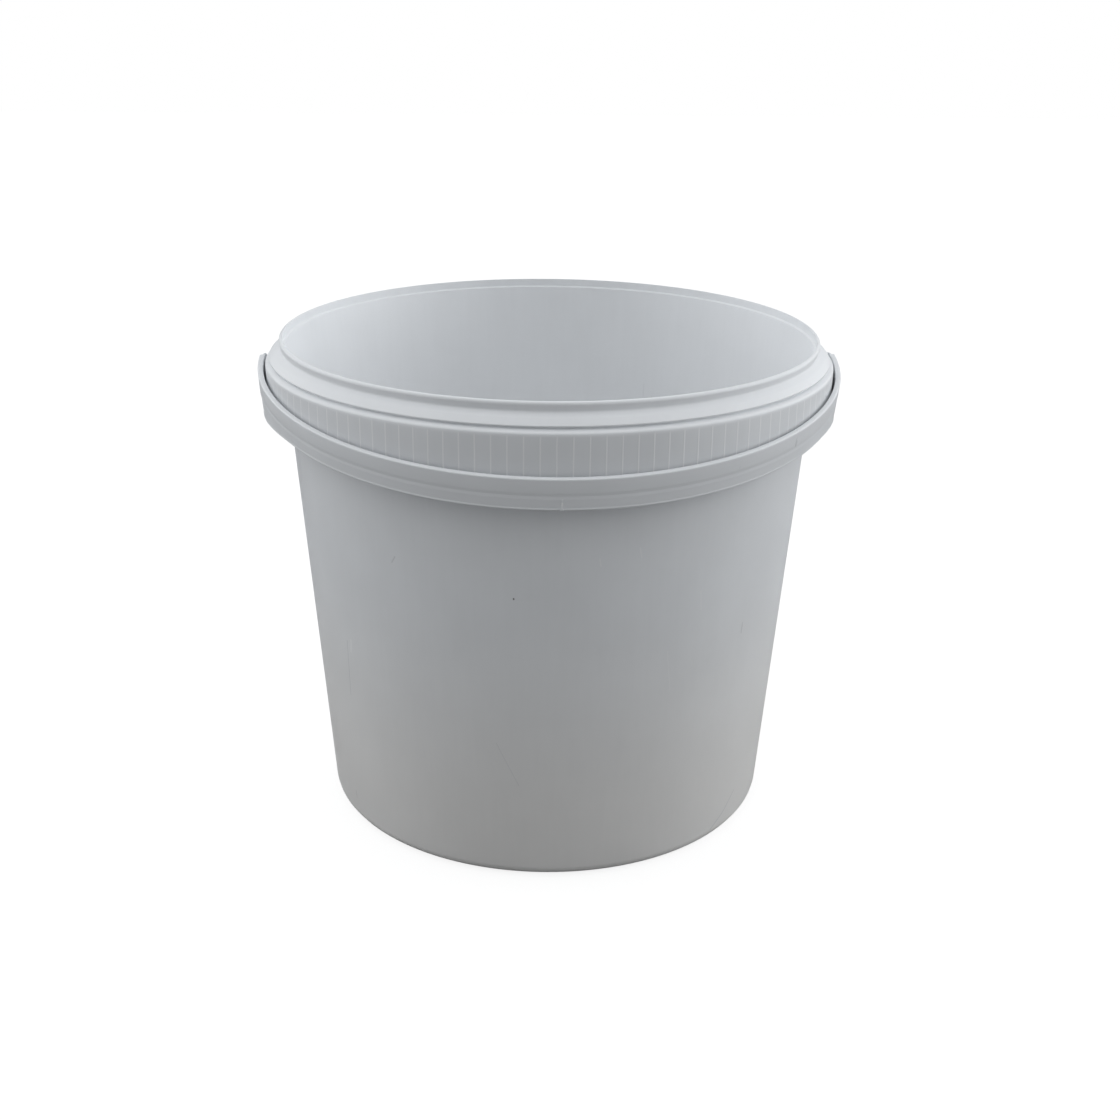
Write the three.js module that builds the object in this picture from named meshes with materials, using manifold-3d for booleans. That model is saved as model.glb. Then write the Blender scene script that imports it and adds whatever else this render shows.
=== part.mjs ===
// Open plastic bucket with a moulded bail handle. Millimetres, +Z up, the bucket stands on z = 0
// with its axis on the Z axis. The handle rests round the front half (-Y) and its pins lie on X.
import * as THREE from "three";
import { mergeVertices } from "three/addons/utils/BufferGeometryUtils.js";
import Module from "manifold-3d";

const wasm = await Module();
wasm.setup();
const { Manifold, Mesh: SolidMesh } = wasm;

// Driving sizes of the bucket
const BUCKET_HEIGHT = 196.0;
const WALL_FOOT_RADIUS = 91.8;
const WALL_SLOPE = 0.0752;
const WALL_THICKNESS = 1.3;
const FLOOR_THICKNESS = 1.7;
const FOOT_RECESS = 2.2;
const FOOT_CORNER = 4.9;
const FOOT_RING_WIDTH = 3.4;

// Driving sizes of the rim. Drops are measured down from the top of the lip
const RIM_OVERHANG = 6.3;
const LIP_FLARE = 0.65;
const LIP_STEP_DROP = 3.1;
const LIP_STEP_WIDTH = 0.6;
const SHOULDER_TOP_DROP = 3.5;
const SHOULDER_EDGE_DROP = 6.7;
const SHOULDER_INSET = 1.6;
const GROOVE_INSET = 3.2;
const LEDGE_DROP = 9.0;
const LEDGE_RISE = 0.7;
const SKIRT_DEPTH = 17.6;
const SKIRT_THICKNESS = 1.4;
const SHELF_THICKNESS = 1.3;

// Ribs that carry the skirt
const RIB_COUNT = 126;
const RIB_THICKNESS = 0.8;
const RIB_LIFT = 1.6;
const RIB_POCKET_HALF_WIDTH = 5.0;

// Driving sizes of the bail handle
const HINGE_DROP = 19.1;
const REST_TILT_DEG = 7.35;
const BAND_THICKNESS = 2.2;
const BAND_HEIGHT = 12.3;
const BAND_CREASE_FROM_TOP = 6.8;
const BAND_FOOT_INSET = 1.3;
const EAR_RADIUS = 9.7;
const EAR_FLARE_DEG = 32.0;
const EAR_BEVEL = 1.4;
const EAR_DOME = 0.5;
const PIN_RADIUS = 3.2;
const PIN_HEAD_RADIUS = 4.3;
const PIN_HEAD_THICKNESS = 1.6;
const GATE_WIDTH = 1.2;
const GATE_OFFSET = 4.8;

// Clearances
const BAND_CLEARANCE = 0.75;
const BAND_BOW = 0.4;
const PIN_HOLE_CLEARANCE = 0.4;
const PIN_HEAD_CLEARANCE = 0.5;

// Facets round the axis
const ROUND_STEPS = 90;
const BAND_STEPS = 96;
const EAR_STEPS = 40;
const PIN_STEPS = 28;

const DEG = Math.PI / 180;

const wallRadius = (z) => WALL_FOOT_RADIUS + WALL_SLOPE * z;
const innerRadius = (z) => wallRadius(z) - WALL_THICKNESS;

// Values that follow from the driving sizes
const LIP_RADIUS = wallRadius(BUCKET_HEIGHT) + LIP_FLARE;
const SKIRT_RADIUS = wallRadius(BUCKET_HEIGHT) + RIM_OVERHANG;
const SHOULDER_RADIUS = SKIRT_RADIUS - SHOULDER_INSET;
const GROOVE_RADIUS = SKIRT_RADIUS - GROOVE_INSET;
const SHOULDER_TOP_Z = BUCKET_HEIGHT - SHOULDER_TOP_DROP;
const SHOULDER_EDGE_Z = BUCKET_HEIGHT - SHOULDER_EDGE_DROP;
const LEDGE_Z = BUCKET_HEIGHT - LEDGE_DROP;
const SKIRT_BOTTOM_Z = LEDGE_Z - SKIRT_DEPTH;
const RIB_BOTTOM_Z = SKIRT_BOTTOM_Z + RIB_LIFT;
const HINGE_Z = BUCKET_HEIGHT - HINGE_DROP;
const BAND_INNER_RADIUS = SKIRT_RADIUS + BAND_CLEARANCE;

// A quarter or other arc as profile points, angles in degrees
function arcPoints(centreR, centreZ, radius, fromDeg, toDeg, steps) {
  const points = [];
  for (let i = 0; i <= steps; i += 1) {
    const a = (fromDeg + ((toDeg - fromDeg) * i) / steps) * DEG;
    points.push([centreR + radius * Math.cos(a), centreZ + radius * Math.sin(a)]);
  }
  return points;
}

// Geometry to a closed solid with its faces outward
function toSolid(geometry) {
  const bare = geometry.clone();
  bare.deleteAttribute("normal");
  bare.deleteAttribute("uv");
  const merged = mergeVertices(bare, 1e-4);
  const solid = new Manifold(
    new SolidMesh({
      numProp: 3,
      vertProperties: new Float32Array(merged.attributes.position.array),
      triVerts: new Uint32Array(merged.index.array),
    }),
  );
  return solid;
}

// Solid of revolution about Z from a closed list of [radius, z], counterclockwise in that plane
function turned(profile, steps) {
  const points = profile.map(([r, z]) => new THREE.Vector2(r, z));
  const geometry = new THREE.LatheGeometry(points, steps);
  geometry.rotateX(90 * DEG);
  return toSolid(geometry);
}

function cylinderAlongX(radius, fromX, toX, steps) {
  const geometry = new THREE.CylinderGeometry(radius, radius, toX - fromX, steps);
  geometry.rotateZ(90 * DEG);
  geometry.translate((fromX + toX) / 2, 0, 0);
  return toSolid(geometry);
}

function toMesh(solid, name, colour, roughness) {
  const raw = solid.getMesh();
  const geometry = new THREE.BufferGeometry();
  const positions = new Float32Array((raw.vertProperties.length / raw.numProp) * 3);
  for (let i = 0; i < positions.length / 3; i += 1) {
    positions[i * 3] = raw.vertProperties[i * raw.numProp];
    positions[i * 3 + 1] = raw.vertProperties[i * raw.numProp + 1];
    positions[i * 3 + 2] = raw.vertProperties[i * raw.numProp + 2];
  }
  geometry.setAttribute("position", new THREE.BufferAttribute(positions, 3));
  geometry.setIndex(new THREE.BufferAttribute(new Uint32Array(raw.triVerts), 1));
  geometry.computeVertexNormals();
  const material = new THREE.MeshStandardMaterial({ color: colour, roughness, metalness: 0 });
  const mesh = new THREE.Mesh(geometry, material);
  mesh.name = name;
  return mesh;
}

// Section of the bucket, from the middle of the underside out, up the outside, over the lip
// and down the inside to the middle of the floor
function bucketProfile() {
  const footOuter = wallRadius(0) - FOOT_CORNER + 0.1;
  const footInner = footOuter - FOOT_RING_WIDTH;
  const floorTop = FOOT_RECESS + FLOOR_THICKNESS;
  const skirtInner = SKIRT_RADIUS - SKIRT_THICKNESS;
  const shelfUnder = LEDGE_Z - SHELF_THICKNESS;
  const webInner = GROOVE_RADIUS - SHELF_THICKNESS;
  const shoulderUnder = SHOULDER_EDGE_Z - 0.35;
  const shoulderFrom = wallRadius(SHOULDER_TOP_Z) + 0.5;
  const lipInner = innerRadius(BUCKET_HEIGHT) + LIP_STEP_WIDTH;
  const lipStepZ = BUCKET_HEIGHT - LIP_STEP_DROP;
  const cornerZ = floorTop + 3.0;
  return [
    [0, FOOT_RECESS],
    [footInner - 2.0, FOOT_RECESS],
    [footInner, 0.25],
    [footInner + 0.5, 0],
    [footOuter, 0],
    ...arcPoints(footOuter, FOOT_CORNER, FOOT_CORNER, -66, -4.3, 3),
    [wallRadius(shoulderUnder + 1.6), shoulderUnder + 1.6],
    [webInner, shoulderUnder + 0.4],
    [webInner, shelfUnder],
    [skirtInner, shelfUnder],
    [skirtInner, SKIRT_BOTTOM_Z],
    [SKIRT_RADIUS - 0.4, SKIRT_BOTTOM_Z],
    [SKIRT_RADIUS, SKIRT_BOTTOM_Z + 0.4],
    [SKIRT_RADIUS, LEDGE_Z - 1.5],
    [SKIRT_RADIUS - 0.35, LEDGE_Z - 0.6],
    [SKIRT_RADIUS - 1.1, LEDGE_Z],
    [GROOVE_RADIUS, LEDGE_Z + LEDGE_RISE],
    [GROOVE_RADIUS, shoulderUnder],
    [SHOULDER_RADIUS - 0.3, shoulderUnder],
    [SHOULDER_RADIUS, SHOULDER_EDGE_Z],
    [(shoulderFrom + SHOULDER_RADIUS) / 2 + 0.2, (SHOULDER_TOP_Z + SHOULDER_EDGE_Z) / 2 + 0.15],
    [shoulderFrom, SHOULDER_TOP_Z - 0.3],
    [wallRadius(SHOULDER_TOP_Z) - 0.1, SHOULDER_TOP_Z + 0.3],
    [LIP_RADIUS, BUCKET_HEIGHT - 1.0],
    [LIP_RADIUS - 0.25, BUCKET_HEIGHT - 0.3],
    [LIP_RADIUS - 0.8, BUCKET_HEIGHT],
    [lipInner + 0.3, BUCKET_HEIGHT],
    [lipInner, BUCKET_HEIGHT - 0.3],
    [lipInner, lipStepZ],
    [innerRadius(lipStepZ - 0.5), lipStepZ - 0.5],
    [innerRadius(cornerZ), cornerZ],
    [innerRadius(cornerZ) - 0.8, cornerZ - 1.9],
    [innerRadius(cornerZ) - 3.0, floorTop],
    [0, floorTop],
  ];
}

// Thin upright plates between wall and skirt, evenly round, left out where the pins need room
function skirtRibs() {
  const shelfUnder = LEDGE_Z - SHELF_THICKNESS;
  const bottomInner = wallRadius(RIB_BOTTOM_Z) - 0.4;
  const topInner = wallRadius(shelfUnder) - 0.4;
  const outer = SKIRT_RADIUS - SKIRT_THICKNESS + 0.4;
  const outline = new THREE.Shape();
  outline.moveTo(bottomInner, RIB_BOTTOM_Z);
  outline.lineTo(outer, RIB_BOTTOM_Z);
  outline.lineTo(outer, shelfUnder + 0.4);
  outline.lineTo(topInner, shelfUnder + 0.4);
  outline.closePath();
  const ribs = [];
  for (let i = 0; i < RIB_COUNT; i += 1) {
    const angle = (i * 360) / RIB_COUNT;
    const sideways = Math.abs(Math.sin(angle * DEG)) * SKIRT_RADIUS;
    if (sideways < RIB_POCKET_HALF_WIDTH) continue;
    const plate = new THREE.ExtrudeGeometry(outline, { depth: RIB_THICKNESS, bevelEnabled: false });
    plate.translate(0, 0, -RIB_THICKNESS / 2);
    plate.rotateX(90 * DEG);
    plate.rotateZ(angle * DEG);
    ribs.push(toSolid(plate));
  }
  return ribs;
}

function makeBucket() {
  const shell = turned(bucketProfile(), ROUND_STEPS);
  const whole = Manifold.union([shell, ...skirtRibs()]);
  const holeRadius = PIN_RADIUS + PIN_HOLE_CLEARANCE;
  const holeFrom = SKIRT_RADIUS - SKIRT_THICKNESS - 1;
  const hole = cylinderAlongX(holeRadius, holeFrom, SKIRT_RADIUS + 2, PIN_STEPS);
  const right = hole.translate([0, 0, HINGE_Z]);
  const left = right.mirror([1, 0, 0]);
  return whole.subtract(Manifold.union([right, left]));
}

// The band's section: upright inside face, upright outer face down to the crease, then slanting
// in to a thin foot edge. Its top edge is flush with the tops of the ears
function bandProfile(height) {
  const inner = BAND_INNER_RADIUS;
  const outer = BAND_INNER_RADIUS + BAND_THICKNESS;
  const top = EAR_RADIUS - 0.1;
  const bottom = top - height;
  const crease = top - BAND_CREASE_FROM_TOP;
  return [
    [inner, bottom + 0.2],
    [inner + 0.2, bottom],
    [outer - BAND_FOOT_INSET - 0.2, bottom],
    [outer - BAND_FOOT_INSET, bottom + 0.3],
    [outer, crease - 0.2],
    [outer, crease + 0.2],
    [outer, top - 0.5],
    [outer - 0.5, top],
    [inner + 0.3, top],
    [inner, top - 0.3],
    [inner, bottom + 0.2],
  ];
}

// One ear: a round plate on the band's end with the pin and its snap head on the inside
function makeEar() {
  const inner = BAND_INNER_RADIUS;
  const outer = BAND_INNER_RADIUS + BAND_THICKNESS;
  const skirtInner = SKIRT_RADIUS - SKIRT_THICKNESS;
  const plate = cylinderAlongX(EAR_RADIUS, inner, outer - EAR_BEVEL, EAR_STEPS);
  const face = cylinderAlongX(EAR_RADIUS - EAR_BEVEL, outer - EAR_BEVEL, outer - 0.3, EAR_STEPS);
  const dome = cylinderAlongX(EAR_RADIUS * 0.4, outer - EAR_BEVEL, outer + EAR_DOME, EAR_STEPS);
  const rounded = Manifold.hull([plate, face, dome]);
  const headOuter = skirtInner - PIN_HEAD_CLEARANCE;
  const headInner = headOuter - PIN_HEAD_THICKNESS;
  const pin = cylinderAlongX(PIN_RADIUS, headInner, inner + 0.5, PIN_STEPS);
  const rim = cylinderAlongX(PIN_HEAD_RADIUS, headOuter - 0.6, headOuter, PIN_STEPS);
  const nose = cylinderAlongX(PIN_RADIUS - 0.4, headInner, headInner + 0.2, PIN_STEPS);
  const head = Manifold.hull([rim, nose]);
  return Manifold.union([rounded, pin, head]);
}

function makeHandle() {
  const outer = BAND_INNER_RADIUS + BAND_THICKNESS;
  // The band is bowed a little forward of a true circle, so that it clears the skirt as it swings
  const bow = (BAND_INNER_RADIUS + BAND_BOW) / BAND_INNER_RADIUS;
  const ring = turned(bandProfile(BAND_HEIGHT), BAND_STEPS).scale([1, bow, 1]);
  const tallRing = turned(bandProfile(EAR_RADIUS * 2 - 0.2), BAND_STEPS).scale([1, bow, 1]);
  const reach = outer + 10;
  const frontHalf = Manifold.cube([reach * 2, reach, 60]).translate([-reach, -reach, -30]);
  const band = ring.intersect(frontHalf);
  const ear = makeEar();
  // Each end of the band deepens downward to meet its ear
  const flareEnd = outer * Math.sin(EAR_FLARE_DEG * DEG);
  const bandTop = EAR_RADIUS - 0.1;
  const wedge = new THREE.Shape();
  wedge.moveTo(0, -bandTop);
  wedge.lineTo(0, bandTop);
  wedge.lineTo(-flareEnd, bandTop);
  wedge.lineTo(-flareEnd, bandTop - BAND_HEIGHT + 0.1);
  wedge.lineTo(-flareEnd * 0.62, bandTop - BAND_HEIGHT - 1.2);
  wedge.lineTo(-flareEnd * 0.28, -EAR_RADIUS * 0.82);
  wedge.lineTo(-flareEnd * 0.1, -EAR_RADIUS * 0.97);
  wedge.closePath();
  const wedgeGeometry = new THREE.ExtrudeGeometry(wedge, { depth: reach * 2, bevelEnabled: false });
  wedgeGeometry.rotateX(90 * DEG);
  wedgeGeometry.rotateZ(90 * DEG);
  wedgeGeometry.translate(-reach, 0, 0);
  const flares = tallRing.intersect(toSolid(wedgeGeometry));
  const gate = Manifold.cube([GATE_WIDTH, 0.6, 1.2], true);
  const gateY = -(outer + BAND_BOW - BAND_FOOT_INSET) + 0.2;
  const gatePlaced = gate.translate([GATE_OFFSET, gateY, EAR_RADIUS - BAND_HEIGHT + 0.3]);
  const level = Manifold.union([band, flares, ear, ear.mirror([1, 0, 0]), gatePlaced]);
  return level.rotate([REST_TILT_DEG, 0, 0]).translate([0, 0, HINGE_Z]);
}

const group = new THREE.Group();
group.name = "plastic_bucket";
group.add(toMesh(makeBucket(), "bucket", 0xe9ebec, 0.42));
group.add(toMesh(makeHandle(), "bail_handle", 0xe6e9eb, 0.4));

export default group;
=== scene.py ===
import math

import bmesh
import bpy
from mathutils import Matrix, Vector


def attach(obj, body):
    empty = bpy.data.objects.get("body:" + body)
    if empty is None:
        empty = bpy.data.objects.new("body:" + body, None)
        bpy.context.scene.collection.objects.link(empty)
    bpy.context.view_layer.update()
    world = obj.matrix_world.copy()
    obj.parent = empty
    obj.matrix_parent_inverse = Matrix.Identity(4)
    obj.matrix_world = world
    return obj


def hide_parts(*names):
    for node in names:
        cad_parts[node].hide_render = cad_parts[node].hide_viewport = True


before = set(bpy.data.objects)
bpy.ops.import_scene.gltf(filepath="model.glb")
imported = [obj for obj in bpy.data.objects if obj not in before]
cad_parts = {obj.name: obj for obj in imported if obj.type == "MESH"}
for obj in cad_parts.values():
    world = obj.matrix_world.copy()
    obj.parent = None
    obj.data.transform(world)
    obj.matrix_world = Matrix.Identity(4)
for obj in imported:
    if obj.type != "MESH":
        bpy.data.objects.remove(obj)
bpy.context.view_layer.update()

# White polypropylene pail with a moulded bail handle. Metres, +Z up, the pail's axis on Z,
# the handle resting round the front (-Y). Sizes are given in millimetres and scaled once here.
MM = 0.001

# Pail
PAIL_HEIGHT = 196.0 * MM
WALL_FOOT_RADIUS = 91.8 * MM
WALL_SLOPE = 0.0752
WALL_THICKNESS = 1.3 * MM
FLOOR_THICKNESS = 1.7 * MM
FOOT_RECESS = 2.2 * MM
FOOT_CORNER = 4.9 * MM
FOOT_RING_WIDTH = 3.4 * MM

# Rim, with drops measured down from the top of the lip
RIM_OVERHANG = 6.3 * MM
LIP_FLARE = 0.65 * MM
LIP_FLARE_DROP = 1.3 * MM
LIP_TOP_ROUNDING = 1.05 * MM
LIP_STEP_DROP = 3.1 * MM
LIP_STEP_WIDTH = 0.6 * MM
SHOULDER_TOP_DROP = 3.5 * MM
SHOULDER_EDGE_DROP = 7.3 * MM
SHOULDER_INSET = 1.6 * MM
SHOULDER_EDGE_HEIGHT = 0.35 * MM
GROOVE_INSET = 2.6 * MM
LEDGE_DROP = 9.0 * MM
LEDGE_RISE = 0.7 * MM
SKIRT_DEPTH = 17.6 * MM
SKIRT_THICKNESS = 1.4 * MM
SHELF_THICKNESS = 1.3 * MM

# Ribs behind the skirt
RIB_COUNT = 126
RIB_THICKNESS = 0.8 * MM
RIB_LIFT = 1.6 * MM
RIB_WALL_BITE = 0.1 * MM
RIB_BITE = 0.3 * MM

# Bail handle
HINGE_DROP = 19.1 * MM
REST_TILT = math.radians(7.35)
BAND_CLEARANCE = 0.75 * MM
BAND_BOW = 0.4 * MM
BAND_THICKNESS = 2.2 * MM
BAND_HEIGHT = 12.3 * MM
BAND_CREASE_FROM_TOP = 6.8 * MM
BAND_FOOT_INSET = 1.3 * MM
EAR_RADIUS = 9.7 * MM
EAR_FLARE = math.radians(32.0)
EAR_BEVEL = 1.4 * MM
EAR_DOME = 0.5 * MM
PIN_RADIUS = 3.2 * MM
PIN_HOLE_CLEARANCE = 0.4 * MM
PIN_HEAD_RADIUS = 4.3 * MM
PIN_HEAD_THICKNESS = 1.6 * MM
PIN_HEAD_CLEARANCE = 0.5 * MM
CREASE_HALF_WIDTH = 1.2 * MM
CREASE_DEPTH = 0.14 * MM
BEAD_PROUD = 0.17 * MM

# Mark where the handle's mould was filled: its place along X from the middle of the band
GATE_OFFSET = -0.9 * MM
GATE_WIDTH = 1.2 * MM
GATE_SINK = 0.3 * MM

# Nearer to the axis than this counts as on it
ON_AXIS = 1e-9

# How finely round forms are cut
ROUND_STEPS = 252
BAND_STEPS = 180
EAR_STEPS = 72


def wall_radius(z):
    return WALL_FOOT_RADIUS + WALL_SLOPE * z


def inner_radius(z):
    return wall_radius(z) - WALL_THICKNESS


LIP_RADIUS = wall_radius(PAIL_HEIGHT) + LIP_FLARE
SKIRT_RADIUS = wall_radius(PAIL_HEIGHT) + RIM_OVERHANG
SKIRT_INNER = SKIRT_RADIUS - SKIRT_THICKNESS
SHOULDER_RADIUS = SKIRT_RADIUS - SHOULDER_INSET
GROOVE_RADIUS = SKIRT_RADIUS - GROOVE_INSET
SHOULDER_TOP_Z = PAIL_HEIGHT - SHOULDER_TOP_DROP
SHOULDER_EDGE_Z = PAIL_HEIGHT - SHOULDER_EDGE_DROP
LEDGE_Z = PAIL_HEIGHT - LEDGE_DROP
SHELF_UNDER_Z = LEDGE_Z - SHELF_THICKNESS
SKIRT_BOTTOM_Z = LEDGE_Z - SKIRT_DEPTH
RIB_BOTTOM_Z = SKIRT_BOTTOM_Z + RIB_LIFT
HINGE_Z = PAIL_HEIGHT - HINGE_DROP
BAND_INNER = SKIRT_RADIUS + BAND_CLEARANCE
BAND_OUTER = BAND_INNER + BAND_THICKNESS
BOW_STRETCH = (BAND_INNER + BAND_BOW) / BAND_INNER

# Front of the band's foot and the move that lays the handle down, both about the hinge
BAND_FOOT_Y = -(BAND_OUTER - BAND_FOOT_INSET) * BOW_STRETCH
BAND_FOOT_Z = EAR_RADIUS - BAND_HEIGHT
HANDLE_AT_REST = Matrix.Translation((0.0, 0.0, HINGE_Z)) @ Matrix.Rotation(REST_TILT, 4, "X")


# Node helper

class NodeKit:
    """Short ways to place and join a node tree's nodes. A value given is a socket to join or a
    constant to set."""

    def __init__(self, tree):
        self.tree = tree

    def fill(self, sockets, values):
        for socket, value in zip(sockets, values):
            if isinstance(value, bpy.types.NodeSocket):
                self.tree.links.new(value, socket)
            elif value is not None:
                socket.default_value = value

    def placed(self, kind, **inputs):
        """A new node with the inputs of these names filled; _ stands for a space."""
        node = self.tree.nodes.new(kind)
        for label, value in inputs.items():
            self.fill((node.inputs[label.replace("_", " ")],), (value,))
        return node

    def maths(self, operation, a, b=None, clamp=False):
        node = self.tree.nodes.new("ShaderNodeMath")
        node.operation = operation
        node.use_clamp = clamp
        self.fill(node.inputs, (a, b))
        return node.outputs[0]

    def vectors(self, operation, a, b=None, output="Vector"):
        node = self.tree.nodes.new("ShaderNodeVectorMath")
        node.operation = operation
        self.fill(node.inputs, (a, b))
        return node.outputs[output]

    def scaled(self, vector, factor):
        node = self.tree.nodes.new("ShaderNodeVectorMath")
        node.operation = "SCALE"
        self.fill((node.inputs[0], node.inputs["Scale"]), (vector, factor))
        return node.outputs[0]

    def joined(self, x, y, z):
        return self.placed("ShaderNodeCombineXYZ", X=x, Y=y, Z=z).outputs[0]

    def split(self, vector):
        return self.placed("ShaderNodeSeparateXYZ", Vector=vector).outputs

    def between(self, value, low, high, to_low=0.0, to_high=1.0):
        """Smooth step of a value from one range into another."""
        node = self.tree.nodes.new("ShaderNodeMapRange")
        node.interpolation_type = "SMOOTHSTEP"
        self.fill(node.inputs, (value, low, high, to_low, to_high))
        return node.outputs[0]

    def noise(self, vector, scale, detail):
        node = self.placed("ShaderNodeTexNoise", Vector=vector, Scale=scale, Detail=detail)
        return node.outputs[0]

    def mixed(self, factor, a, b):
        """Colour a blended into colour b by the factor."""
        node = self.tree.nodes.new("ShaderNodeMix")
        node.data_type = "RGBA"
        self.fill((node.inputs[0], node.inputs[6], node.inputs[7]), (factor, a, b))
        return node.outputs[2]

    def group(self, tree, values):
        node = self.tree.nodes.new("ShaderNodeGroup")
        node.node_tree = tree
        for label, value in values.items():
            self.fill((node.inputs[label],), (value,))
        return node.outputs

    def object_place(self):
        return self.tree.nodes.new("ShaderNodeTexCoord").outputs["Object"]


# Mesh helpers

def mesh_object(name, mesh):
    piece = bpy.data.objects.new(name, mesh)
    bpy.context.scene.collection.objects.link(piece)
    return piece


def smooth_with_creases(mesh, angle_deg=32.0):
    """Smooth faces, kept crisp where two meet at more than the angle."""
    mesh.polygons.foreach_set("use_smooth", [True] * len(mesh.polygons))
    mesh.set_sharp_from_angle(angle=math.radians(angle_deg))


def rounded_outline(corners, steps=4):
    """A list of (r, z, fillet) corners as a line of points with its corners rounded."""
    points = []
    count = len(corners)
    for i, (r, z, fillet) in enumerate(corners):
        here = Vector((r, z))
        if fillet <= 0.0:
            points.append(here)
            continue
        before = (Vector(corners[i - 1][:2]) - here).normalized()
        after = (Vector(corners[(i + 1) % count][:2]) - here).normalized()
        half = before.angle(after) / 2.0
        reach = fillet / math.tan(half)
        middle = (before + after).normalized()
        centre = here + middle * (fillet / math.sin(half))
        start = here + before * reach - centre
        sweep = math.pi - 2.0 * half
        turn = -1.0 if before.x * after.y - before.y * after.x > 0.0 else 1.0
        for k in range(steps + 1):
            spin = Matrix.Rotation(turn * sweep * k / steps, 2)
            points.append(centre + spin @ start)
    return points


def turned(name, outline, steps):
    """A body turned about Z from an outline of (r, z) points that starts and ends on the axis."""
    bm = bmesh.new()
    rings = []
    for point in outline:
        if point.x < ON_AXIS:
            rings.append([bm.verts.new((0.0, 0.0, point.y))])
            continue
        ring = []
        for k in range(steps):
            a = math.tau * k / steps
            ring.append(bm.verts.new((point.x * math.sin(a), -point.x * math.cos(a), point.y)))
        rings.append(ring)
    for low, high in zip(rings, rings[1:]):
        for k in range(steps):
            n = (k + 1) % steps
            if len(low) == 1:
                bm.faces.new((low[0], high[n], high[k]))
            elif len(high) == 1:
                bm.faces.new((low[k], low[n], high[0]))
            else:
                bm.faces.new((low[k], low[n], high[n], high[k]))
    bmesh.ops.recalc_face_normals(bm, faces=bm.faces)
    mesh = bpy.data.meshes.new(name)
    bm.to_mesh(mesh)
    bm.free()
    return mesh


# Pail

def pail_outline():
    """Section from the middle of the underside, out and up the outside, over the lip and down
    the inside to the middle of the floor. Each corner is its radius, height and rounding."""
    foot_outer = wall_radius(0.0)
    foot_inner = foot_outer - FOOT_CORNER - FOOT_RING_WIDTH
    floor_top = FOOT_RECESS + FLOOR_THICKNESS
    web_inner = GROOVE_RADIUS - SHELF_THICKNESS
    shoulder_under = SHOULDER_EDGE_Z - SHOULDER_EDGE_HEIGHT
    shoulder_from = wall_radius(SHOULDER_TOP_Z) + 0.2 * MM
    lip_inner = inner_radius(PAIL_HEIGHT) + LIP_STEP_WIDTH
    lip_step = PAIL_HEIGHT - LIP_STEP_DROP
    corners = [
        (0.0, FOOT_RECESS, 0.0),
        (foot_inner - 2.0 * MM, FOOT_RECESS, 0.8 * MM),
        (foot_inner + 0.2 * MM, 0.0, 0.5 * MM),
        (foot_outer, 0.0, FOOT_CORNER),
        (wall_radius(shoulder_under + 1.6 * MM), shoulder_under + 1.6 * MM, 0.0),
        (web_inner, shoulder_under + 0.4 * MM, 0.0),
        (web_inner, SHELF_UNDER_Z, 0.0),
        (SKIRT_INNER, SHELF_UNDER_Z, 0.0),
        (SKIRT_INNER, SKIRT_BOTTOM_Z, 0.3 * MM),
        (SKIRT_RADIUS, SKIRT_BOTTOM_Z, 0.5 * MM),
        (SKIRT_RADIUS, LEDGE_Z - 0.36 * MM, 1.2 * MM),
        (GROOVE_RADIUS, LEDGE_Z + LEDGE_RISE, 0.3 * MM),
        (GROOVE_RADIUS, shoulder_under, 0.3 * MM),
        (SHOULDER_RADIUS, shoulder_under, 0.12 * MM),
        (SHOULDER_RADIUS, SHOULDER_EDGE_Z + 0.1 * MM, 0.2 * MM),
        ((shoulder_from + SHOULDER_RADIUS) / 2 + 0.2 * MM,
         (SHOULDER_TOP_Z + SHOULDER_EDGE_Z) / 2 + 0.25 * MM, 3.0 * MM),
        (shoulder_from, SHOULDER_TOP_Z, 0.8 * MM),
        (LIP_RADIUS, PAIL_HEIGHT - LIP_FLARE_DROP, 0.15 * MM),
        (LIP_RADIUS, PAIL_HEIGHT, LIP_TOP_ROUNDING),
        (lip_inner, PAIL_HEIGHT, 0.2 * MM),
        (lip_inner, lip_step, 0.3 * MM),
        (inner_radius(lip_step - 0.5 * MM), lip_step - 0.5 * MM, 0.3 * MM),
        (inner_radius(floor_top), floor_top, 3.0 * MM),
        (0.0, floor_top, 0.0),
    ]
    return rounded_outline(corners)


def drill_pin_holes(pail):
    """The two round holes in the skirt that the handle's pins sit in."""
    radius = PIN_RADIUS + PIN_HOLE_CLEARANCE
    length = SKIRT_THICKNESS + 4.0 * MM
    middle = SKIRT_RADIUS - SKIRT_THICKNESS / 2.0
    for side in (-1.0, 1.0):
        bm = bmesh.new()
        place = Matrix.Translation((side * middle, 0.0, HINGE_Z))
        bmesh.ops.create_cone(
            bm, cap_ends=True, segments=EAR_STEPS, depth=length, radius1=radius, radius2=radius,
            matrix=place @ Matrix.Rotation(math.pi / 2, 4, "Y"),
        )
        cutter_mesh = bpy.data.meshes.new("pin_hole_cutter")
        bm.to_mesh(cutter_mesh)
        bm.free()
        cutter = mesh_object("pin_hole_cutter", cutter_mesh)
        cut = pail.modifiers.new("pin_hole", "BOOLEAN")
        cut.operation = "DIFFERENCE"
        cut.solver = "EXACT"
        cut.object = cutter
        bake_modifiers(pail)
        bpy.data.objects.remove(cutter)


def bake_modifiers(piece):
    """Turns a piece's live modifiers into plain mesh."""
    bpy.context.view_layer.update()
    graph = bpy.context.evaluated_depsgraph_get()
    made = bpy.data.meshes.new_from_object(piece.evaluated_get(graph))
    piece.modifiers.clear()
    old = piece.data
    piece.data = made
    bpy.data.meshes.remove(old)


def make_pail(plastic):
    pail = mesh_object("pail_shell", turned("pail_shell", pail_outline(), ROUND_STEPS))
    drill_pin_holes(pail)
    smooth_with_creases(pail.data)
    pail.data.materials.clear()
    pail.data.materials.append(plastic)
    return pail


# Skirt ribs

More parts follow.
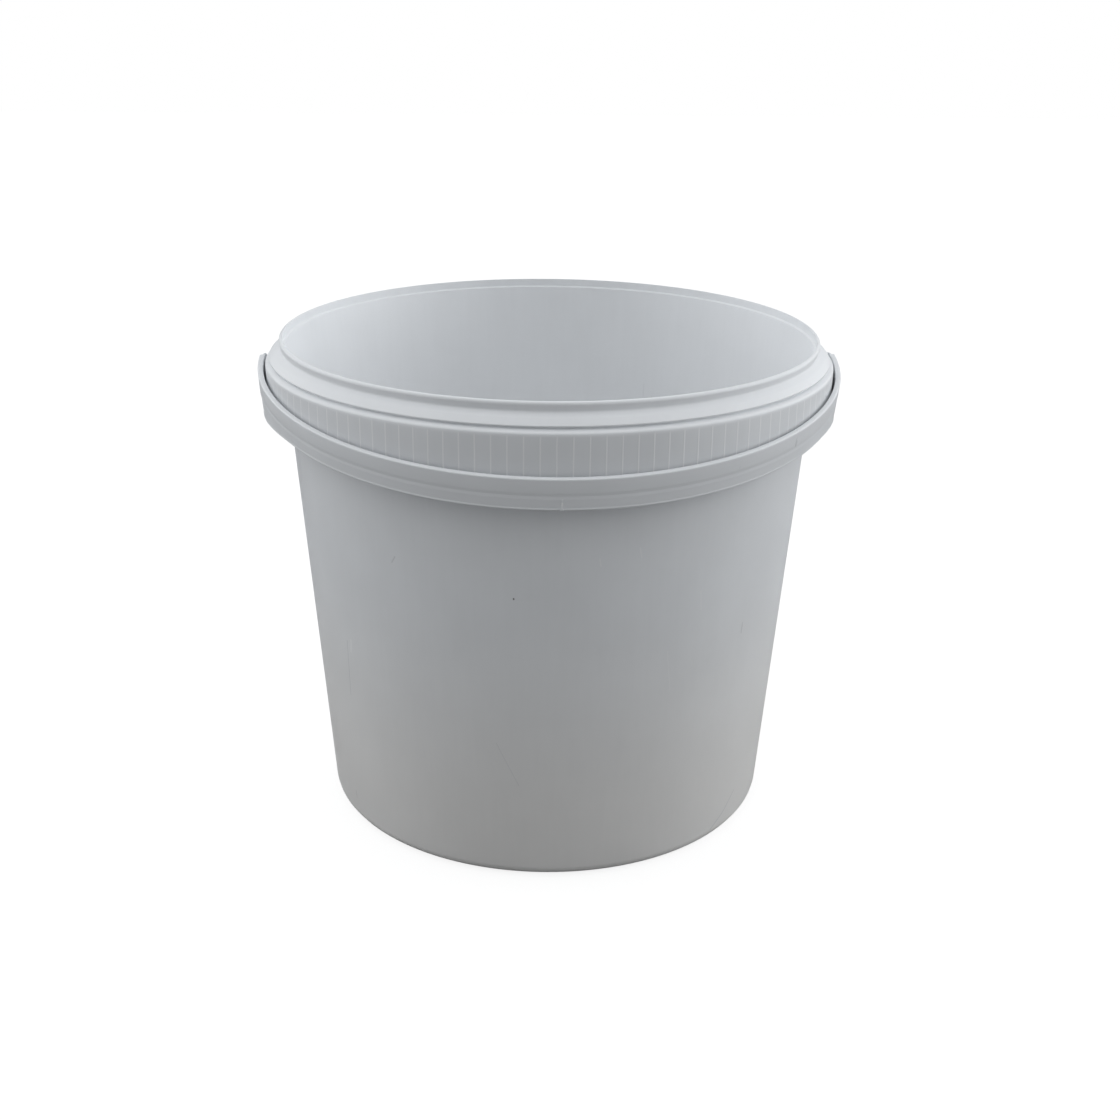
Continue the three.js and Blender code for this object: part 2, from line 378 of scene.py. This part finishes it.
def new_tree(name, inputs):
    """A Geometry Nodes tree with named inputs and one geometry output."""
    tree = bpy.data.node_groups.new(name, "GeometryNodeTree")
    tree.interface.new_socket("Geometry", in_out="INPUT", socket_type="NodeSocketGeometry")
    for label, kind in inputs:
        tree.interface.new_socket(label, in_out="INPUT", socket_type=kind)
    tree.interface.new_socket("Geometry", in_out="OUTPUT", socket_type="NodeSocketGeometry")
    return tree


def set_input(modifier, label, value):
    for item in modifier.node_group.interface.items_tree:
        if item.item_type == "SOCKET" and item.in_out == "INPUT" and item.name == label:
            modifier[item.identifier] = value


def rib_tree():
    """Upright plates set evenly round a circle, with none at the two pins."""
    tree = new_tree("skirt_ribs", [
        ("Count", "NodeSocketInt"),
        ("Inner Radius", "NodeSocketFloat"),
        ("Outer Radius", "NodeSocketFloat"),
        ("Thickness", "NodeSocketFloat"),
        ("Bottom", "NodeSocketFloat"),
        ("Top", "NodeSocketFloat"),
        ("Material", "NodeSocketMaterial"),
    ])
    kit = NodeKit(tree)
    given = kit.placed("NodeGroupInput").outputs
    out = kit.placed("NodeGroupOutput")
    inner, outer = given["Inner Radius"], given["Outer Radius"]
    bottom, top = given["Bottom"], given["Top"]
    depth = kit.maths("SUBTRACT", outer, inner)
    height = kit.maths("SUBTRACT", top, bottom)
    plate = kit.placed("GeometryNodeMeshCube", Size=kit.joined(depth, given["Thickness"], height))

    index = kit.placed("GeometryNodeInputIndex").outputs[0]
    angle = kit.maths("MULTIPLY", kit.maths("DIVIDE", index, given["Count"]), math.tau)
    reach = kit.maths("MULTIPLY", kit.maths("ADD", inner, outer), 0.5)
    middle = kit.maths("MULTIPLY", kit.maths("ADD", bottom, top), 0.5)
    place = kit.joined(
        kit.maths("MULTIPLY", kit.maths("COSINE", angle), reach),
        kit.maths("MULTIPLY", kit.maths("SINE", angle), reach),
        middle,
    )
    spots = kit.placed("GeometryNodePoints", Count=given["Count"], Position=place)
    half_turn = kit.maths("MULTIPLY", given["Count"], 0.5)
    at_pin = kit.maths("COMPARE", kit.maths("MODULO", index, half_turn), 0.0)
    thin_out = kit.placed(
        "GeometryNodeDeleteGeometry", Geometry=spots.outputs[0], Selection=at_pin,
    )

    x, y, _ = kit.split(kit.placed("GeometryNodeInputPosition").outputs[0])
    facing = kit.joined(0.0, 0.0, kit.maths("ARCTAN2", y, x))
    turn = kit.placed("FunctionNodeEulerToRotation", Euler=facing)
    stand = kit.placed(
        "GeometryNodeInstanceOnPoints",
        Points=thin_out.outputs[0], Instance=plate.outputs["Mesh"], Rotation=turn.outputs[0],
    )
    real = kit.placed("GeometryNodeRealizeInstances", Geometry=stand.outputs[0])
    paint = kit.placed(
        "GeometryNodeSetMaterial", Geometry=real.outputs[0], Material=given["Material"],
    )
    kit.fill(out.inputs, (paint.outputs[0],))
    return tree


def make_ribs(plastic):
    ribs = mesh_object("skirt_ribs", bpy.data.meshes.new("skirt_ribs"))
    modifier = ribs.modifiers.new("ribs", "NODES")
    modifier.node_group = rib_tree()
    set_input(modifier, "Count", RIB_COUNT)
    set_input(modifier, "Inner Radius", wall_radius(RIB_BOTTOM_Z) - RIB_WALL_BITE)
    set_input(modifier, "Outer Radius", SKIRT_INNER + RIB_BITE)
    set_input(modifier, "Thickness", RIB_THICKNESS)
    set_input(modifier, "Bottom", RIB_BOTTOM_Z)
    set_input(modifier, "Top", SHELF_UNDER_Z + RIB_BITE)
    set_input(modifier, "Material", plastic)
    bake_modifiers(ribs)
    return ribs


# Bail handle

def band_drop(angle):
    """How far the band's foot lies below its top at an angle from the front: it deepens
    smoothly, at the ends, to nearly the width of the round ears."""
    start = math.pi / 2 - EAR_FLARE
    if angle <= start:
        return BAND_HEIGHT
    t = (angle - start) / EAR_FLARE
    ease = t * t * (3.0 - 2.0 * t)
    share_of_ear = 0.97
    return BAND_HEIGHT + (2.0 * EAR_RADIUS - BAND_HEIGHT) * ease * share_of_ear


def band_section(drop):
    """The band's section: it slants in evenly from top to foot, with a soft sunk line along the
    crease and a fine bead along the foot."""
    top = EAR_RADIUS
    bottom = top - drop
    crease = top - BAND_CREASE_FROM_TOP
    bead_low, bead_high, bead_end = 0.25 * MM, 0.4 * MM, 0.9 * MM

    def face(z):
        return BAND_OUTER - BAND_FOOT_INSET * (top - z) / drop

    corners = [
        (BAND_INNER, bottom, 0.2 * MM),
        (face(bottom), bottom, 0.15 * MM),
        (face(bottom) + BEAD_PROUD, bottom + bead_low, 0.08 * MM),
        (face(bottom) + BEAD_PROUD, bottom + bead_high, 0.08 * MM),
        (face(bottom + bead_end), bottom + bead_end, 0.1 * MM),
        (face(crease - CREASE_HALF_WIDTH), crease - CREASE_HALF_WIDTH, 0.3 * MM),
        (face(crease) - CREASE_DEPTH, crease, 0.25 * MM),
        (face(crease + CREASE_HALF_WIDTH), crease + CREASE_HALF_WIDTH, 0.3 * MM),
        (BAND_OUTER, top, 0.55 * MM),
        (BAND_INNER, top, 0.35 * MM),
    ]
    return rounded_outline(corners)


def make_band():
    """The curved band from ear to ear, swept round the front half and bowed a little forward."""
    bm = bmesh.new()
    sections = []
    for i in range(BAND_STEPS + 1):
        a = math.pi * (i / BAND_STEPS - 0.5)
        loop = []
        for point in band_section(band_drop(abs(a))):
            x, y = point.x * math.sin(a), -BOW_STRETCH * point.x * math.cos(a)
            loop.append(bm.verts.new((x, y, point.y)))
        sections.append(loop)
    for here, there in zip(sections, sections[1:]):
        count = len(here)
        for k in range(count):
            n = (k + 1) % count
            bm.faces.new((here[k], there[k], there[n], here[n]))
    bm.faces.new(sections[0])
    bm.faces.new(list(reversed(sections[-1])))
    bmesh.ops.recalc_face_normals(bm, faces=bm.faces)
    return bm


def make_ear():
    """One round ear with its pin and snap head, turned about the hinge, as a mesh along X."""
    head_outer = SKIRT_INNER - PIN_HEAD_CLEARANCE
    head_inner = head_outer - PIN_HEAD_THICKNESS
    corners = [
        (0.0, head_inner, 0.0),
        (PIN_RADIUS - 0.4 * MM, head_inner, 0.2 * MM),
        (PIN_HEAD_RADIUS, head_outer - 0.6 * MM, 0.1 * MM),
        (PIN_HEAD_RADIUS, head_outer, 0.1 * MM),
        (PIN_RADIUS, head_outer, 0.1 * MM),
        (PIN_RADIUS, BAND_INNER, 0.3 * MM),
        (EAR_RADIUS, BAND_INNER, 0.3 * MM),
        (EAR_RADIUS, BAND_OUTER - EAR_BEVEL, 0.8 * MM),
        (EAR_RADIUS - EAR_BEVEL, BAND_OUTER - 0.3 * MM, 1.2 * MM),
        (EAR_RADIUS * 0.4, BAND_OUTER + EAR_DOME, 2.0 * MM),
        (0.0, BAND_OUTER + EAR_DOME, 0.0),
    ]
    mesh = turned("ear", rounded_outline(corners), EAR_STEPS)
    mesh.transform(Matrix.Rotation(math.pi / 2, 4, "Y"))
    return mesh


def make_gate_mark(bm):
    """The small mark left where the mould was filled: a fine upright ridge below the crease that
    widens into a nib at the band's foot, a little to one side of the middle."""
    rise = BAND_HEIGHT - BAND_CREASE_FROM_TOP - CREASE_HALF_WIDTH
    lean = BAND_FOOT_INSET / BAND_HEIGHT
    half = GATE_WIDTH / 2.0
    # Half width of the ridge, its height above the foot, and how far it stands out
    steps = [
        (half, 0.05 * MM, 0.42 * MM),
        (half * 0.4, 0.9 * MM, 0.40 * MM),
        (half * 0.25, rise, 0.12 * MM),
    ]
    left = [(-x, up, proud) for x, up, proud in steps]
    outline = left + list(reversed(steps))
    back, front = [], []
    for x, up, proud in outline:
        y, z = BAND_FOOT_Y - lean * up, BAND_FOOT_Z + up
        back.append(bm.verts.new((GATE_OFFSET + x, y + GATE_SINK, z)))
        front.append(bm.verts.new((GATE_OFFSET + x, y - proud, z)))
    count = len(outline)
    faces = [front, list(reversed(back))]
    for k in range(count):
        n = (k + 1) % count
        faces.append([front[k], back[k], back[n], front[n]])
    made = [bm.faces.new(face) for face in faces]
    bmesh.ops.recalc_face_normals(bm, faces=made)


def make_handle(plastic):
    bm = make_band()
    ear = make_ear()
    bm.from_mesh(ear)
    ear.transform(Matrix.Rotation(math.pi, 4, "Z"))
    bm.from_mesh(ear)
    make_gate_mark(bm)
    mesh = bpy.data.meshes.new("bail_band")
    bm.to_mesh(mesh)
    bm.free()
    mesh.transform(HANDLE_AT_REST)
    smooth_with_creases(mesh)
    mesh.materials.append(plastic)
    return mesh_object("bail_band", mesh)


# Materials

def wall_point(azimuth_deg, z):
    """A point on the outside of the wall, by its angle round from the front and its height."""
    a = math.radians(azimuth_deg)
    return (wall_radius(z) * math.sin(a), -wall_radius(z) * math.cos(a), z)


def shader_group(name, inputs, outputs):
    """A new shader node group with named inputs and outputs, given as (label, kind) lists."""
    tree = bpy.data.node_groups.new(name, "ShaderNodeTree")
    for label, kind in inputs:
        tree.interface.new_socket(label, in_out="INPUT", socket_type=kind)
    for label, kind in outputs:
        tree.interface.new_socket(label, in_out="OUTPUT", socket_type=kind)
    given = tree.nodes.new("NodeGroupInput").outputs
    result = tree.nodes.new("NodeGroupOutput").inputs
    return NodeKit(tree), given, result


def moulded_surface_group():
    """Moulded plastic: faint clouds and upright flow streaks in the colour, a fine grain and a
    slight waviness in the height, and shine that varies with the clouds and streaks."""
    kit, given, result = shader_group(
        "moulded_surface",
        [
            ("Color", "NodeSocketColor"),
            ("Clouds", "NodeSocketFloat"),
            ("Streaks", "NodeSocketFloat"),
            ("Roughness", "NodeSocketFloat"),
            ("Roughness Spread", "NodeSocketFloat"),
            ("Grain Height", "NodeSocketFloat"),
            ("Wave Height", "NodeSocketFloat"),
        ],
        [
            ("Color", "NodeSocketColor"),
            ("Roughness", "NodeSocketFloat"),
            ("Height", "NodeSocketFloat"),
        ],
    )
    cloud_scale, grain_scale, wave_scale = 38.0, 2100.0, 62.0
    streak_stretch = (420.0, 420.0, 14.0)
    place = kit.object_place()
    clouds = kit.maths("SUBTRACT", kit.noise(place, cloud_scale, 3.0), 0.5)
    drawn_out = kit.vectors("MULTIPLY", place, streak_stretch)
    streaks = kit.maths("SUBTRACT", kit.noise(drawn_out, 1.0, 2.0), 0.5)
    level = kit.maths(
        "ADD",
        kit.maths("MULTIPLY", clouds, given["Clouds"]),
        kit.maths("MULTIPLY", streaks, given["Streaks"]),
    )
    colour = kit.scaled(given["Color"], kit.maths("ADD", level, 1.0))
    spread = kit.maths("MULTIPLY", kit.maths("ADD", clouds, streaks), given["Roughness Spread"])
    shine = kit.maths("ADD", spread, given["Roughness"], clamp=True)
    grain = kit.maths("MULTIPLY", kit.noise(place, grain_scale, 1.0), given["Grain Height"])
    wave = kit.maths("MULTIPLY", kit.noise(place, wave_scale, 1.0), given["Wave Height"])
    kit.fill(result, (colour, shine, kit.maths("ADD", grain, wave)))
    return kit.tree


def scratch_and_highlight_group():
    """A fine straight mark between two points, fading at its edges: 1 on the line, 0 off it. It
    masks the wall's marks of use and the painted highlight on the handle.
    """
    kit, given, result = shader_group(
        "scratch_and_highlight",
        [
            ("Start", "NodeSocketVector"),
            ("End", "NodeSocketVector"),
            ("Width", "NodeSocketFloat"),
        ],
        [("Mask", "NodeSocketFloat")],
    )
    no_length, full_share = 1e-9, 0.4
    from_start = kit.vectors("SUBTRACT", kit.object_place(), given["Start"])
    along = kit.vectors("SUBTRACT", given["End"], given["Start"])
    along_squared = kit.vectors("DOT_PRODUCT", along, along, "Value")
    share = kit.maths(
        "DIVIDE",
        kit.vectors("DOT_PRODUCT", from_start, along, "Value"),
        kit.maths("MAXIMUM", along_squared, no_length),
        clamp=True,
    )
    off_line = kit.vectors("SUBTRACT", from_start, kit.scaled(along, share))
    distance = kit.vectors("LENGTH", off_line, output="Value")
    half = kit.maths("MULTIPLY", given["Width"], 0.5)
    faded = kit.between(distance, kit.maths("MULTIPLY", half, full_share), half)
    kit.fill(result, (kit.maths("SUBTRACT", 1.0, faded),))
    return kit.tree


def rib_line_group():
    """Where the skirt's ribs show through its outer face as fine upright lines: a mask for the
    painted light along each rib and the slight raised line there, and a mask of the skirt for its
    painted shade.
    """
    kit, given, result = shader_group(
        "rib_lines",
        [
            ("Count", "NodeSocketFloat"),
            ("Radius", "NodeSocketFloat"),
            ("Bottom", "NodeSocketFloat"),
            ("Top", "NodeSocketFloat"),
            ("Width", "NodeSocketFloat"),
        ],
        [("Lines", "NodeSocketFloat"), ("Skirt", "NodeSocketFloat")],
    )
    behind_face, bottom_fade, top_fade, full_share = 0.3 * MM, 0.8 * MM, 1.2 * MM, 0.2
    radius, bottom, top = given["Radius"], given["Bottom"], given["Top"]
    x, y, z = kit.split(kit.object_place())
    squares = kit.maths("ADD", kit.maths("MULTIPLY", x, x), kit.maths("MULTIPLY", y, y))
    outside = kit.maths(
        "GREATER_THAN", kit.maths("SQRT", squares), kit.maths("SUBTRACT", radius, behind_face)
    )
    above_foot = kit.between(z, bottom, kit.maths("ADD", bottom, bottom_fade))
    below_top = kit.between(z, kit.maths("SUBTRACT", top, top_fade), top, 1.0, 0.0)
    skirt = kit.maths("MULTIPLY", outside, kit.maths("MULTIPLY", above_foot, below_top))
    turn = kit.maths("DIVIDE", kit.maths("ARCTAN2", y, x), math.tau)
    pitch = kit.maths("MULTIPLY", turn, given["Count"])
    off_rib = kit.maths("ABSOLUTE", kit.maths("SUBTRACT", pitch, kit.maths("ROUND", pitch)))
    rib_spacing = kit.maths("DIVIDE", kit.maths("MULTIPLY", radius, math.tau), given["Count"])
    distance = kit.maths("MULTIPLY", off_rib, rib_spacing)
    half = kit.maths("MULTIPLY", given["Width"], 0.5)
    line = kit.between(distance, kit.maths("MULTIPLY", half, full_share), half, 1.0, 0.0)
    kit.fill(result, (kit.maths("MULTIPLY", line, skirt), skirt))
    return kit.tree


def new_plastic(name):
    """A new plastic material, its shader, and a kit for its nodes."""
    material = bpy.data.materials.new(name)
    material.use_nodes = True
    shader = material.node_tree.nodes["Principled BSDF"]
    shader.inputs["IOR"].default_value = 1.49
    return material, shader, NodeKit(material.node_tree)


def finish_plastic(kit, shader, colour, roughness, height):
    """Joins colour, roughness and a height in metres to the shader."""
    bump = kit.placed("ShaderNodeBump", Strength=1.0, Distance=1.0, Height=height)
    sockets = [shader.inputs[label] for label in ("Base Color", "Roughness", "Normal")]
    kit.fill(sockets, (colour, roughness, bump.outputs[0]))


CLEAN_WHITE = (0.818, 0.836, 0.858, 1.0)
LOW_WHITE = (0.845, 0.838, 0.826, 1.0)
GREY_SPECK = (0.16, 0.16, 0.17, 1.0)
SCUFF_GREY = (0.60, 0.61, 0.625, 1.0)
# Pale: the colour of the wall's pale marks of use, and of the painted light along the skirt's rib
# lines
PALE_MARK_AND_RIB_GLOW = (0.93, 0.935, 0.94, 1.0)
# Near-white for the painted highlight along the handle's gate mark
GATE_PAINTED_HIGHLIGHT = (0.97, 0.975, 0.98, 1.0)

# How strongly the ribs show on the skirt: the painted shade between them, the painted light along
# the line over each, and that line's height
BETWEEN_RIBS_SHADE = 0.11
RIB_GLOW_STRENGTH = 0.55
RIB_LINE_WIDTH = 0.75 * MM
RIB_LINE_HEIGHT = 0.035 * MM

# Small marks of use on the wall: where each starts and ends (degrees round from the front,
# millimetres up), its width in millimetres, its colour and its strength
WALL_MARKS = [
    (-9.7, 121.3, -9.7, 121.0, 0.8, GREY_SPECK, 0.95),
    (-53.5, 87.4, -54.1, 82.0, 1.0, PALE_MARK_AND_RIB_GLOW, 0.85),
    (-55.3, 86.0, -56.6, 61.0, 0.5, SCUFF_GREY, 0.6),
    (44.0, 4.5, 49.1, 9.6, 0.6, SCUFF_GREY, 0.7),
    (49.1, 9.6, 53.5, 16.5, 0.6, SCUFF_GREY, 0.7),
    (7.6, 137.0, 7.9, 134.0, 0.7, PALE_MARK_AND_RIB_GLOW, 0.5),
    (15.9, 140.0, 16.4, 136.0, 0.7, PALE_MARK_AND_RIB_GLOW, 0.45),
    (-36.1, 131.0, -37.0, 128.5, 0.8, SCUFF_GREY, 0.5),
    (31.4, 118.0, 32.0, 110.0, 0.5, PALE_MARK_AND_RIB_GLOW, 0.45),
    (-14.0, 60.0, -9.0, 42.0, 0.5, SCUFF_GREY, 0.3),
    (24.0, 96.0, 25.5, 79.0, 0.5, PALE_MARK_AND_RIB_GLOW, 0.3),
]


def make_pail_plastic(surface, scratch_and_highlight, rib_lines):
    """Satin white, cool at the rim and a touch warmer towards the foot, with painted shade over
    the skirt and painted light along the rib lines on it, and the few small marks of use that the
    wall carries."""
    material, shader, kit = new_plastic("pail_plastic")
    warm_below, cool_above = 15.0 * MM, 130.0 * MM
    z = kit.split(kit.object_place())[2]
    tone = kit.mixed(kit.between(z, warm_below, cool_above), LOW_WHITE, CLEAN_WHITE)
    made = kit.group(surface, {
        "Color": tone, "Clouds": 0.07, "Streaks": 0.03, "Roughness": 0.42,
        "Roughness Spread": 0.35, "Grain Height": 0.006 * MM, "Wave Height": 0.16 * MM,
    })
    lines = kit.group(rib_lines, {
        "Count": float(RIB_COUNT), "Radius": SKIRT_RADIUS, "Bottom": SKIRT_BOTTOM_Z,
        "Top": LEDGE_Z - 1.0 * MM, "Width": RIB_LINE_WIDTH,
    })
    # Painted shade: the whole skirt is darkened a little, standing in for the dimmer light
    # through the thin skirt away from the ribs
    shade = kit.maths("MULTIPLY", lines["Skirt"], BETWEEN_RIBS_SHADE)
    colour = kit.scaled(made["Color"], kit.maths("SUBTRACT", 1.0, shade))
    # Painted light: each rib line is painted paler, standing in for light showing through the
    # skirt where a rib stands behind it
    rib_glow = kit.maths("MULTIPLY", lines["Lines"], RIB_GLOW_STRENGTH)
    colour = kit.mixed(rib_glow, colour, PALE_MARK_AND_RIB_GLOW)
    for from_deg, from_mm, to_deg, to_mm, width_mm, mark_colour, strength in WALL_MARKS:
        mask = kit.group(scratch_and_highlight, {
            "Start": wall_point(from_deg, from_mm * MM),
            "End": wall_point(to_deg, to_mm * MM),
            "Width": width_mm * MM,
        })["Mask"]
        colour = kit.mixed(kit.maths("MULTIPLY", mask, strength), colour, mark_colour)
    raised = kit.maths("MULTIPLY", lines["Lines"], RIB_LINE_HEIGHT)
    height = kit.maths("ADD", made["Height"], raised)
    finish_plastic(kit, shader, colour, made["Roughness"], height)
    return material


def make_handle_plastic(surface, scratch_and_highlight):
    """The handle's plastic: the same white, a little glossier, and lighter along the mark where
    the
    mould was filled: a painted highlight where its ridge catches the light."""
    material, shader, kit = new_plastic("handle_plastic")
    made = kit.group(surface, {
        "Color": CLEAN_WHITE, "Clouds": 0.05, "Streaks": 0.0, "Roughness": 0.38,
        "Roughness Spread": 0.3, "Grain Height": 0.005 * MM, "Wave Height": 0.09 * MM,
    })
    foot = Vector((GATE_OFFSET, BAND_FOOT_Y, BAND_FOOT_Z))
    top = foot + Vector((0.0, -0.4 * MM, 3.0 * MM))
    # Painted highlight: the colour is lifted towards near-white along the gate ridge, standing in
    # for light catching it
    mask = kit.group(scratch_and_highlight, {
        "Start": tuple(HANDLE_AT_REST @ foot),
        "End": tuple(HANDLE_AT_REST @ top),
        "Width": 0.85 * MM,
    })["Mask"]
    colour = kit.mixed(mask, made["Color"], GATE_PAINTED_HIGHLIGHT)
    finish_plastic(kit, shader, colour, made["Roughness"], made["Height"])
    return material


moulded_surface = moulded_surface_group()
scratch_and_highlight = scratch_and_highlight_group()
pail_plastic = make_pail_plastic(moulded_surface, scratch_and_highlight, rib_line_group())
handle_plastic = make_handle_plastic(moulded_surface, scratch_and_highlight)

pail = make_pail(pail_plastic)
ribs = make_ribs(pail_plastic)
handle = make_handle(handle_plastic)

for piece in (pail, ribs):
    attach(piece, "bucket")
    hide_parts("bucket")
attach(handle, "bail")
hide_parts("bail_handle")


# Floor, light and camera

def make_floor():
    """A grey card for the light to bounce off. The camera sees it lifted to white wherever
    nothing shades it, so that only the bucket's own soft shadow shows."""
    card_grey, lift, size = 0.24, 0.84, 3.0
    mesh = bpy.data.meshes.new("floor")
    corners = [(-size, -size, 0.0), (size, -size, 0.0), (size, size, 0.0), (-size, size, 0.0)]
    mesh.from_pydata(corners, [], [(0, 1, 2, 3)])
    floor = mesh_object("floor", mesh)
    material = bpy.data.materials.new("floor_white")
    material.use_nodes = True
    material.node_tree.nodes.clear()
    kit = NodeKit(material.node_tree)
    card = kit.placed("ShaderNodeBsdfDiffuse", Color=(card_grey, card_grey, card_grey, 1.0))
    seen = kit.placed("ShaderNodeLightPath").outputs["Is Camera Ray"]
    level = kit.maths("MULTIPLY", seen, lift)
    white = kit.placed("ShaderNodeEmission", Color=(1.0, 1.0, 1.0, 1.0), Strength=level)
    both = kit.placed("ShaderNodeAddShader")
    kit.fill(both.inputs, (card.outputs[0], white.outputs[0]))
    kit.placed("ShaderNodeOutputMaterial", Surface=both.outputs[0])
    floor.data.materials.append(material)


def make_light():
    """Even studio light from a white room: broad from above, strong from both sides, a little
    from behind on either side, and almost none from the camera's side, which leaves the middle
    of the front greyer than its flanks. The camera itself sees plain white."""
    # Direction towards the light, how tightly it is gathered, and its level
    glows = [
        ((0.0, 0.0, 1.0), 1.0, 0.83),
        ((0.0, -0.7, 1.0), 4.0, 0.02),
        ((-0.6, 0.0, 1.0), 14.0, 0.48),
        ((-1.0, 0.0, -0.1), 4.5, 1.62),
        ((1.0, 0.0, -0.1), 4.5, 2.95),
        ((-0.8, 0.6, 0.2), 6.0, 1.05),
        ((0.8, 0.6, 0.1), 6.0, 0.95),
    ]
    slightly_cool = (0.985, 1.0, 1.012, 1.0)
    world = bpy.data.worlds.new("studio")
    bpy.context.scene.world = world
    world.use_nodes = True
    world.node_tree.nodes.clear()
    kit = NodeKit(world.node_tree)
    where = kit.placed("ShaderNodeTexCoord").outputs["Generated"]
    level = 0.0
    for direction, gathered, strength in glows:
        facing = kit.vectors("DOT_PRODUCT", where, Vector(direction).normalized(), "Value")
        glow = kit.maths("POWER", kit.maths("MAXIMUM", facing, 0.0), gathered)
        level = kit.maths("ADD", kit.maths("MULTIPLY", glow, strength), level)
    soft = kit.placed("ShaderNodeBackground", Color=slightly_cool, Strength=level)
    white = kit.placed("ShaderNodeBackground", Color=(1.0, 1.0, 1.0, 1.0), Strength=1.0)
    seen = kit.placed("ShaderNodeLightPath").outputs["Is Camera Ray"]
    mix = kit.placed("ShaderNodeMixShader")
    kit.fill(mix.inputs, (seen, soft.outputs[0], white.outputs[0]))
    kit.placed("ShaderNodeOutputWorld", Surface=mix.outputs[0])


def make_camera():
    """The photograph's viewpoint: how far, how high, and how the camera was turned."""
    distance = 655.3 * MM
    elevation = math.radians(21.28)
    around = math.radians(-2.8)
    roll, yaw, pitch = (math.radians(a) for a in (-0.547, -0.449, -0.037))
    target = Vector((0.0, 0.0, 97.7 * MM))
    frame_pixels = 1120.0
    focal_pixels = 1546.7
    data = bpy.data.cameras.new("camera")
    data.sensor_width = 36.0
    data.lens = focal_pixels / frame_pixels * data.sensor_width
    data.clip_start = 10.0 * MM
    camera = bpy.data.objects.new("camera", data)
    back = Vector((0.0, -math.cos(elevation), math.sin(elevation))) * distance
    orbit = Matrix.Rotation(around, 4, "Z")
    look = (
        orbit
        @ Matrix.Rotation(math.pi / 2 - elevation, 4, "X")
        @ Matrix.Rotation(pitch, 4, "X")
        @ Matrix.Rotation(yaw, 4, "Y")
        @ Matrix.Rotation(-roll, 4, "Z")
    )
    camera.matrix_world = Matrix.Translation(target + orbit @ back) @ look
    bpy.context.scene.collection.objects.link(camera)
    bpy.context.scene.camera = camera


make_floor()
make_light()
make_camera()
bpy.context.scene.view_settings.view_transform = "Standard"
